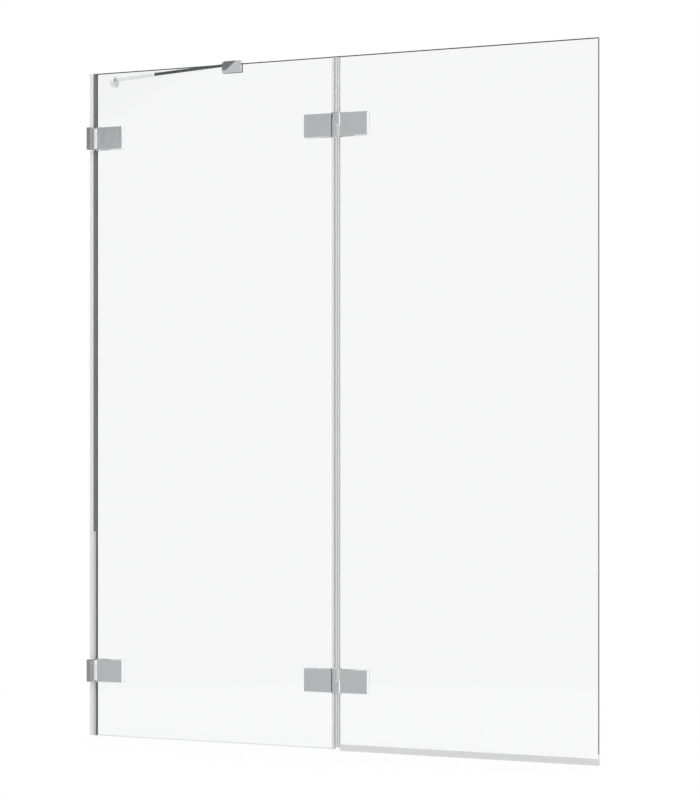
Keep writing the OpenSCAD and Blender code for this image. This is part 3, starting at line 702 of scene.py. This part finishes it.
def node_lengths(node):
    """Start and end heights of the lengths that a seal's CAD node has."""
    heights = sorted({round(v.co.z, 6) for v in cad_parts[node].data.vertices})
    return list(zip(heights[::2], heights[1::2]))


def channel_half(inner, tip, direction):
    """Half of a channel from inside its web, round the arm, to the web's outer face short of the plane."""
    d = direction
    outer = inner - d * SEAL_WALL
    return [(inner, 0.0), (inner, GLASS_HALF + AIR), (tip - d * ARM_TIP, GLASS_HALF + AIR),
            (tip, GLASS_HALF + ARM_TIP), (tip - d * ARM_TIP, SEAL_HALF),
            (outer + d * 2 * ARM_TIP, SEAL_HALF), (outer, SEAL_HALF - 2 * ARM_TIP)]


def base_colour(material):
    """The socket of a material's base colour."""
    return next(n for n in material.node_tree.nodes if n.type == "BSDF_PRINCIPLED").inputs["Base Color"]


def channel_paler_below(start, end):
    """The channel's smoked plastic, paler on its outer half below a height near the floor."""
    material = soft_plastic("smoked channel plastic", SEAL_CLEARNESS, SMOKED_TONE)
    tree = material.node_tree
    axes = object_axes(tree)
    middle = (start + end) / 2 + LIP
    outer = place_node(tree, "ShaderNodeMapRange", From_Min=middle + ARM_TIP, From_Max=middle)
    tree.links.new(axes["X"], outer.inputs["Value"])
    below = place_node(tree, "ShaderNodeMapRange", From_Min=PALE_PART_TOP, From_Max=PALE_PART_TOP - LIP)
    tree.links.new(axes["Z"], below.inputs["Value"])
    milky = reckon(tree, "MULTIPLY", outer.outputs["Result"], below.outputs["Result"])
    blend_colours(tree, milky, plastic_grey(SMOKED_TONE), plastic_grey(LOW_PALE_TONE),
                  base_colour(material))
    return material


def dark_ended(height):
    """The cloudy plastic of the seals between the panes, with painted shade at its top end, like the dark
    line on the glass edges.
    """
    material = soft_plastic("cloudy plastic with a dark end", SEAL_CLEARNESS, CLOUDY_TONE)
    tree = material.node_tree
    top = reckon(tree, "COMPARE", object_axes(tree)["Z"], height, ARRIS)
    blend_colours(tree, top, plastic_grey(CLOUDY_TONE), TOP_END_SHADE, base_colour(material))
    return material


cutter = cut_lengths()


def extruded(node, loops, lengths, plastic):
    """A seal of a section and some lengths."""
    return grown(node + "_finished", cutter, section_mesh(node, loops, lengths), plastic)


cloudy_plastic = soft_plastic("cloudy soft plastic", SEAL_CLEARNESS, CLOUDY_TONE)
wall_low, wall_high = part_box("wall_seal")
wall_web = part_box("fixed_glass")[0].x - AIR
wall_loop = channel_half(wall_web, wall_high.x, 1)[:-1] + [
    (wall_low.x + ARM_TIP, wall_high.y), (wall_low.x, wall_high.y - ARM_TIP),
    (wall_low.x + ARM_TIP, wall_high.y - LIP), (wall_web - SEAL_WALL, LIP_ROOT),
    (wall_web - SEAL_WALL, 0.0)]
wall_seal = extruded("wall_seal", [mirrored(wall_loop)], node_lengths("wall_seal"), cloudy_plastic)
wall_seal.data.materials.clear()
for material in (cloudy_plastic, channel_paler_below(wall_web, wall_high.x)):
    wall_seal.data.materials.append(material)
for face in wall_seal.data.polygons:
    face.material_index = 1 if face.center.x > wall_web - SEAL_WALL / 4 else 0
fit(wall_seal, "wall_seal")

edge_low, edge_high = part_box("fixed_edge_seal")
dark_ended_plastic = dark_ended(edge_high.z)
edge_loop = channel_half(edge_high.x - SEAL_WALL, edge_low.x, -1) + [(edge_high.x, 0.0)]
fixed_edge_seal = extruded("fixed_edge_seal", [mirrored(edge_loop)], node_lengths("fixed_edge_seal"),
                           dark_ended_plastic)
fit(fixed_edge_seal, "fixed_edge_seal")

bulb_low, bulb_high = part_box("door_edge_seal")
axis_x = bulb_low.x + BULB_RADIUS
bulb_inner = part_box("door_glass")[0].x - AIR
bulb_web = math.degrees(math.asin(LIP / 2 / BULB_RADIUS))
bulb_loop = channel_half(bulb_inner, bulb_high.x, 1) + [(bulb_inner - SEAL_WALL, LIP / 2)] + [
    (axis_x + x, y) for x, y in arc(BULB_RADIUS, bulb_web, 180)]
hollow = [(axis_x + x, y) for x, y in arc(BULB_RADIUS - LIP, 0, 360)[:-1]]
door_edge_seal = extruded("door_edge_seal", [mirrored(bulb_loop), hollow], node_lengths("door_edge_seal"),
                          dark_ended_plastic)
fit(door_edge_seal, "door_edge_seal")

drip_low, drip_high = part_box("door_drip_seal")
glass_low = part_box("door_glass")[0].z - AIR
web_low = glass_low + AIR - SEAL_WALL
drip_loop = [(-SEAL_HALF, drip_high.z - ARM_TIP), (-SEAL_HALF, drip_low.z), (-LIP_ROOT, drip_low.z),
             (-LIP_ROOT, web_low), (LIP_ROOT, web_low), (LIP / 2, drip_low.z), (3 * LIP / 2, drip_low.z),
             (SEAL_HALF, web_low), (SEAL_HALF, drip_high.z - ARM_TIP), (SEAL_HALF - ARM_TIP, drip_high.z),
             (GLASS_HALF + AIR, drip_high.z - ARM_TIP), (GLASS_HALF + AIR, glass_low),
             (-GLASS_HALF - AIR, glass_low), (-GLASS_HALF - AIR, drip_high.z - ARM_TIP),
             (-SEAL_HALF + ARM_TIP, drip_high.z)]
door_drip_seal = extruded("door_drip_seal", [drip_loop], [(drip_low.x, drip_high.x)], cloudy_plastic)
door_drip_seal.data.transform(LAID_ALONG_X)
fit(door_drip_seal, "door_drip_seal")

# Support bar and rosette
# A satin-plated tube leaves the rosette on the wall, and a rod slides in it and is locked by a small screw.
# The rod is dark-plated. The rosette's satin cap has a polished face, darkened with painted shade, and
# threads onto a steel disc that is screwed to the wall.
BAR_EDGE = 0.0003


def satin_chrome():
    """Bead-blasted light plate, almost white because it scatters what it reflects."""
    material, shader = bare_material("satin chrome", Base_Color=(0.9, 0.905, 0.91, 1.0), Metallic=0.4)
    add_marks(material, shader, scale=150.0, plain=0.42, marked=0.5, depth=0.000006)
    return material


def dark_plate():
    """Dark nickel plate."""
    material, shader = bare_material("dark plate", Base_Color=(0.11, 0.113, 0.12, 1.0), Metallic=1.0)
    add_marks(material, shader, scale=90.0, plain=0.16, marked=0.24, depth=0.000004)
    return material


satin = satin_chrome()
# The cap's face is polished chrome, given a lower tone as painted shade.
cap_face_shade = polished_chrome("polished cap face with painted shade", tone=0.66, plain=0.09, marked=0.16)
recolour_side(dress("rosette_cap", satin, BAR_EDGE), FREE_SIDE, cap_face_shade)
finish_node("rosette_base", steel)
finish_node("rosette_grub_screw", steel)
dress("support_tube", satin, BAR_EDGE)
dress("support_rod", dark_plate(), BAR_EDGE)
finish_node("rod_lock_screw", steel)
finish_node("rod_grub_screw", steel)

# Glass clamp
# A brass channel over the pane's top edge, cast with the bar's socket on its back, polished and
# chromed. Its front face is slightly crowned. Two grub screws press its soft liner on the glass.
CLAMP_EDGE = 0.0006
CROWN = 0.0005
UPRIGHT_CROWN_SHARE = 0.3
CROWN_ROWS = 8


def glass_clamp():
    """The clamp's solid, its front face cut into a grid and dropped back towards the sides."""
    shape = solid_copy("glass_clamp")
    low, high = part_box("glass_clamp")
    middle = (low + high) / 2
    half = (high - low) / 2
    for axis, normal in ((0, (1, 0, 0)), (2, (0, 0, 1))):
        for i in range(1, CROWN_ROWS):
            point = low.copy()
            point[axis] = low[axis] + (high[axis] - low[axis]) * i / CROWN_ROWS
            everything = shape.verts[:] + shape.edges[:] + shape.faces[:]
            bmesh.ops.bisect_plane(shape, geom=everything, dist=MERGE_DISTANCE, plane_co=point,
                                   plane_no=normal)
    for vertex in shape.verts:
        if vertex.co.y < low.y + MERGE_DISTANCE:
            across = (vertex.co.x - middle.x) / half.x
            upward = (vertex.co.z - middle.z) / half.z
            vertex.co.y += CROWN * (across ** 2 + UPRIGHT_CROWN_SHARE * upward ** 2)
    piece = new_piece("glass_clamp_finished", shape, [mirror_chrome_and_end_highlight])
    ease_edges(piece, CLAMP_EDGE, segments=3)
    fit(piece, "glass_clamp")


glass_clamp()
finish_node("glass_clamp_liner", soft_plastic("smoked soft plastic", SEAL_CLEARNESS, SMOKED_TONE))
finish_node("glass_clamp_grubs", steel)

# Floor and light
# A plain pale floor disc that fades into a white surround, a large soft lamp on the left and a weaker
# one on the right. Polished metal mirrors a studio by direction: mid grey, with a white ceiling, ground,
# right side and window behind, and a dark flag on the left.
FLOOR_PLACE = (0.6, 0.1, -0.1512)
FLOOR_RADIUS = 1.5
FLOOR_SIDES = 128
STUDIO_GREY = 0.525
FLAG_TONE = 0.175
# Each pair says where along a direction's X, Y or Z a part of the studio begins and where it is full.
CEILING = (0.4, 0.65)
GROUND = (-0.3, -0.55)
RIGHT_SIDE = (0.6, 1.0)
WINDOW_START = (0.2, 0.3)
WINDOW_END = (0.66, 0.58)
WINDOW_DEPTH = (-0.15, 0.3)
FLAG_SLOPE = -0.68
FLAG_EDGE = (0.467, 0.475)
FLAG_TOP = (0.4, 0.3)
FLAG_FOOT = (0.131, 0.136)
FLAG_END = (-0.58, -0.55)


def floor_disc():
    """The floor: almost white where the screen stands, pure white at its rim."""
    material, shader = bare_material("pale floor", Base_Color=(0.93, 0.93, 0.93, 1.0), Roughness=0.8)
    tree = material.node_tree
    place = tree.nodes.new("ShaderNodeTexCoord")
    reach = tree.nodes.new("ShaderNodeVectorMath")
    reach.operation = "LENGTH"
    tree.links.new(place.outputs["Object"], reach.inputs["Vector"])
    fade = place_node(tree, "ShaderNodeMapRange", From_Min=0.75, From_Max=1.4, To_Min=0.85)
    fade.interpolation_type = "SMOOTHSTEP"
    tree.links.new(reach.outputs["Value"], fade.inputs["Value"])
    white = place_node(tree, "ShaderNodeEmission", Color=(1.0, 1.0, 1.0, 1.0), Strength=1.0)
    pick = tree.nodes.new("ShaderNodeMixShader")
    output = next(n for n in tree.nodes if n.type == "OUTPUT_MATERIAL")
    tree.links.new(fade.outputs["Result"], pick.inputs["Fac"])
    tree.links.new(shader.outputs["BSDF"], pick.inputs[1])
    tree.links.new(white.outputs["Emission"], pick.inputs[2])
    tree.links.new(pick.outputs["Shader"], output.inputs["Surface"])
    rim = [(FLOOR_RADIUS * math.cos(2 * math.pi * i / FLOOR_SIDES),
            FLOOR_RADIUS * math.sin(2 * math.pi * i / FLOOR_SIDES), 0.0) for i in range(FLOOR_SIDES)]
    mesh = bpy.data.meshes.new("floor")
    mesh.from_pydata(rim, [], [list(range(FLOOR_SIDES))])
    mesh.materials.append(material)
    floor = bpy.data.objects.new("floor", mesh)
    floor.location = FLOOR_PLACE
    floor.visible_glossy = False
    bpy.context.scene.collection.objects.link(floor)


def soft_lamp(name, place, turn, size, power):
    """A large soft lamp that mirrors don't show."""
    light = bpy.data.lights.new(name, "AREA")
    light.size = size
    light.energy = power
    lamp = bpy.data.objects.new(name, light)
    lamp.location = place
    lamp.rotation_euler = [math.radians(angle) for angle in turn]
    lamp.visible_glossy = False
    bpy.context.scene.collection.objects.link(lamp)


def studio_world():
    """White for the eye and for soft light; for mirrors, the studio."""
    world = bpy.data.worlds.new("studio")
    bpy.context.scene.world = world
    world.use_nodes = True
    tree = world.node_tree
    links = tree.links
    place = tree.nodes.new("ShaderNodeTexCoord")
    parts = tree.nodes.new("ShaderNodeSeparateXYZ")
    links.new(place.outputs["Generated"], parts.inputs["Vector"])

    def ramp(value, start, end):
        step = place_node(tree, "ShaderNodeMapRange", From_Min=start, From_Max=end)
        step.interpolation_type = "SMOOTHSTEP"
        links.new(value, step.inputs["Value"])
        return step.outputs["Result"]

    def blend(factor, first, second):
        mixed = tree.nodes.new("ShaderNodeMix")
        links.new(factor, mixed.inputs["Factor"])
        feed(tree, first, mixed.inputs["A"])
        feed(tree, second, mixed.inputs["B"])
        return mixed.outputs["Result"]

    x, y, z = (parts.outputs[axis] for axis in "XYZ")
    across = reckon(tree, "MULTIPLY", ramp(x, *WINDOW_START), ramp(x, *WINDOW_END))
    window = reckon(tree, "MULTIPLY", ramp(y, *WINDOW_DEPTH), across)
    bright = reckon(tree, "MAXIMUM", reckon(tree, "MAXIMUM", ramp(z, *CEILING), ramp(z, *GROUND)),
                    reckon(tree, "MAXIMUM", window, ramp(x, *RIGHT_SIDE)))
    slant = reckon(tree, "MULTIPLY_ADD", x, FLAG_SLOPE, z)
    flag = reckon(tree, "MULTIPLY", reckon(tree, "MULTIPLY", ramp(slant, *FLAG_EDGE), ramp(z, *FLAG_TOP)),
                  reckon(tree, "MULTIPLY", ramp(z, *FLAG_FOOT), ramp(x, *FLAG_END)))
    tone = blend(bright, blend(flag, STUDIO_GREY, FLAG_TONE), 1.0)
    path = tree.nodes.new("ShaderNodeLightPath")
    mirrored_ray = reckon(tree, "GREATER_THAN", path.outputs["Glossy Depth"], 0.5)
    strength = blend(mirrored_ray, 1.0, tone)
    background = next(n for n in tree.nodes if n.type == "BACKGROUND")
    background.inputs["Color"].default_value = (1.0, 1.0, 1.0, 1.0)
    links.new(strength, background.inputs["Strength"])


floor_disc()
soft_lamp("left lamp", place=(-1.4, -2.2, 2.6), turn=(42, 0, -32), size=1.6, power=26.0)
soft_lamp("right lamp", place=(2.8, 1.2, 2.2), turn=(-50, 0, 40), size=1.2, power=10.0)
studio_world()

# Camera
# A level camera in front of the screen and to the right of the door, at the photo's distance and angle.
# Its shift lowers the screen in the picture and keeps upright lines upright.
CAMERA_PLACE = (2.773, -4.712, 0.515)
CAMERA_TURN = math.radians(24.3)
LENS = 107.7
SENSOR_WIDTH = 36.0
SHIFT = (-0.0001, 0.05375)

camera_data = bpy.data.cameras.new("camera")
camera_data.lens = LENS
camera_data.sensor_width = SENSOR_WIDTH
camera_data.shift_x, camera_data.shift_y = SHIFT
camera = bpy.data.objects.new("camera", camera_data)
camera.location = CAMERA_PLACE
camera.rotation_euler = (math.radians(90), 0.0, CAMERA_TURN)
bpy.context.scene.collection.objects.link(camera)
bpy.context.scene.camera = camera
bpy.context.scene.view_settings.view_transform = "Standard"
